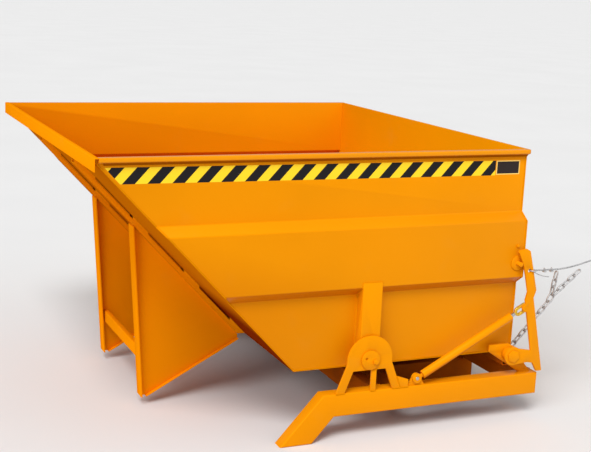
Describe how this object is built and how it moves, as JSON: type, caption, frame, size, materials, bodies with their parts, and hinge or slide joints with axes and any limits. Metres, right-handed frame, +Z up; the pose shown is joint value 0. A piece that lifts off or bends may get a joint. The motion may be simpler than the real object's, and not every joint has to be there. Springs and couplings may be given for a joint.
{
  "type": "self dumping hopper",
  "caption": "Self dumping hopper: orange steel tub on two pivots over a fork frame, with a sprung latch lever, pull rope and safety chain.",
  "frame": {"origin": "on the ground, under the middle of the hopper's length and width, the chain included and the rope left out", "axes": "+X from the pouring lip to the truck side, +Y to the side without the latch, +Z up"},
  "size_m": [2.8068, 2.3332, 1.413],
  "materials": {
    "orange_paint": "glossy orange paint",
    "zinc_steel": "dull zinc plating",
    "bright_galvanised": "bright galvanised steel",
    "yellow_zinc": "yellow zinc plating",
    "black_rubber": "matt black rubber"
  },
  "bodies": {
    "base_frame": {"left_side_rail": "orange_paint", "right_side_rail": "orange_paint", "front_cross_member": "orange_paint", "middle_cross_member": "orange_paint", "rear_cross_member": "orange_paint", "left_fork_pocket": "orange_paint", "right_fork_pocket": "orange_paint", "left_trestle": "orange_paint", "right_trestle": "orange_paint", "trestle_stays": "orange_paint", "trestle_gussets": "orange_paint", "left_pivot_pin": "zinc_steel", "right_pivot_pin": "zinc_steel", "pivot_pin_caps": "orange_paint", "pivot_cap_screws": "orange_paint", "rest_beam": "orange_paint", "rest_pads": "black_rubber", "left_rear_bracket": "orange_paint", "right_rear_bracket": "orange_paint", "latch_boss": "orange_paint", "latch_pin": "orange_paint", "strut_lug": "orange_paint", "strut_lug_pin": "zinc_steel", "chain_eye": "orange_paint", "chain_ring": "bright_galvanised", "safety_chain": "bright_galvanised"},
    "hopper_tub": {"slope_plate": "orange_paint", "floor_plate": "orange_paint", "rear_wall": "orange_paint", "left_side_wall": "orange_paint", "right_side_wall": "orange_paint", "lip_bar": "orange_paint", "left_rim": "orange_paint", "right_rim": "orange_paint", "rear_rim": "orange_paint", "slope_ribs": "orange_paint", "left_leg_plate": "orange_paint", "right_leg_plate": "orange_paint", "leg_face_bars": "orange_paint", "leg_foot_flanges": "orange_paint", "leg_cross_bar": "orange_paint", "left_pivot_post": "orange_paint", "right_pivot_post": "orange_paint", "left_pivot_hub": "orange_paint", "right_pivot_hub": "orange_paint", "latch_stud": "orange_paint", "band_bolt": "orange_paint"},
    "latch_arm": {"latch_lever": "orange_paint", "strut_head_pin": "orange_paint", "rope_ring": "bright_galvanised", "pull_rope": "bright_galvanised", "rope_clips": "bright_galvanised", "rope_handle_ring": "bright_galvanised"},
    "strut_barrel": {"strut_tube": "orange_paint"},
    "strut_bar": {"strut_rod": "zinc_steel", "strut_link": "yellow_zinc"}
  },
  "joints": [
    {"name": "hopper_tip", "type": "hinge", "parent": "base_frame", "child": "hopper_tub", "pos_m": [-0.02121, 0, 0.401], "axis": [0, -1, 0], "range_deg": [0, 65]},
    {"name": "latch_swing", "type": "hinge", "parent": "base_frame", "child": "latch_arm", "pos_m": [0.80279, -1.149, 0.348], "axis": [0, 1, 0], "range_deg": [0, 12], "stiffness_Nm_per_rad": 30, "springref_deg": -20.05},
    {"name": "strut_swing", "type": "hinge", "parent": "base_frame", "child": "strut_barrel", "pos_m": [0.24979, -1.1365, 0.279], "axis": [0, 1, 0], "range_deg": [0, 3.2]},
    {"name": "strut_slide", "type": "slide", "parent": "strut_barrel", "child": "strut_bar", "axis": [0.8834, 0, 0.4686], "range_m": [0, 0.042]}
  ],
  "couplings": [
    {"joint": "strut_swing", "follows": "latch_swing", "ratio": 0.2565},
    {"joint": "strut_slide", "follows": "latch_swing", "m_per_rad": 0.197}
  ]
}
